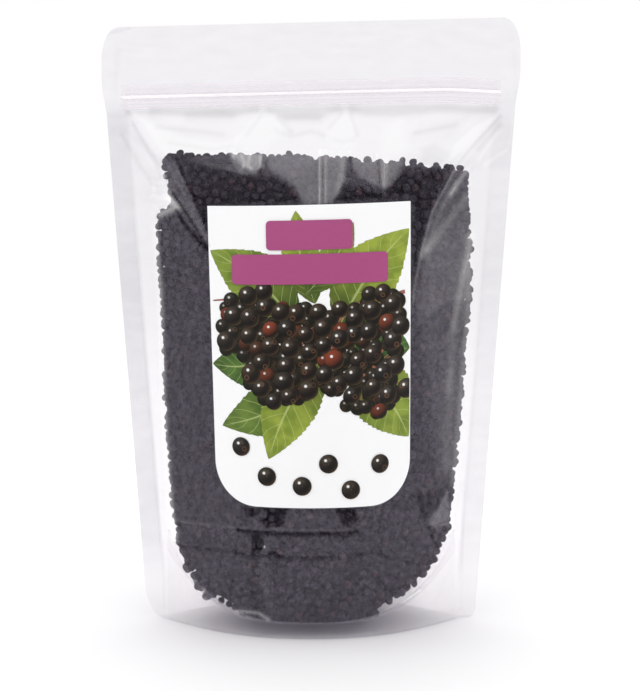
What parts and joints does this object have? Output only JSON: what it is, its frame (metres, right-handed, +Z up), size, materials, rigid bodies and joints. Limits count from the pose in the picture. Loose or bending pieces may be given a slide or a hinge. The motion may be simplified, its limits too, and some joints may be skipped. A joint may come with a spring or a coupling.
{
  "type": "stand-up pouch of dried elderberries",
  "caption": "Clear stand-up pouch with a press-to-close zip, a bottom gusset and a front label, sealed and filled with dried elderberries.",
  "frame": {"origin": "on the ground, under the middle of the pouch", "axes": "+Z up, towards the top of the header; the labelled front faces -Y; +X to the right as the front is looked at"},
  "size_m": [0.19, 0.0897, 0.2787],
  "materials": {
    "clear_film": "clear, glossy, faintly milky film",
    "zip_plastic": "translucent, satin",
    "dried_berry": "wrinkled dried skin, nearly matt, purple-black",
    "printed_label": "satin white with a printed picture"
  },
  "bodies": {
    "root": {"film_front": "clear_film", "film_back": "clear_film", "film_gusset": "clear_film", "zip_rib": "zip_plastic", "zip_track": "zip_plastic", "berries": "dried_berry", "label": "printed_label"}
  },
  "joints": []
}
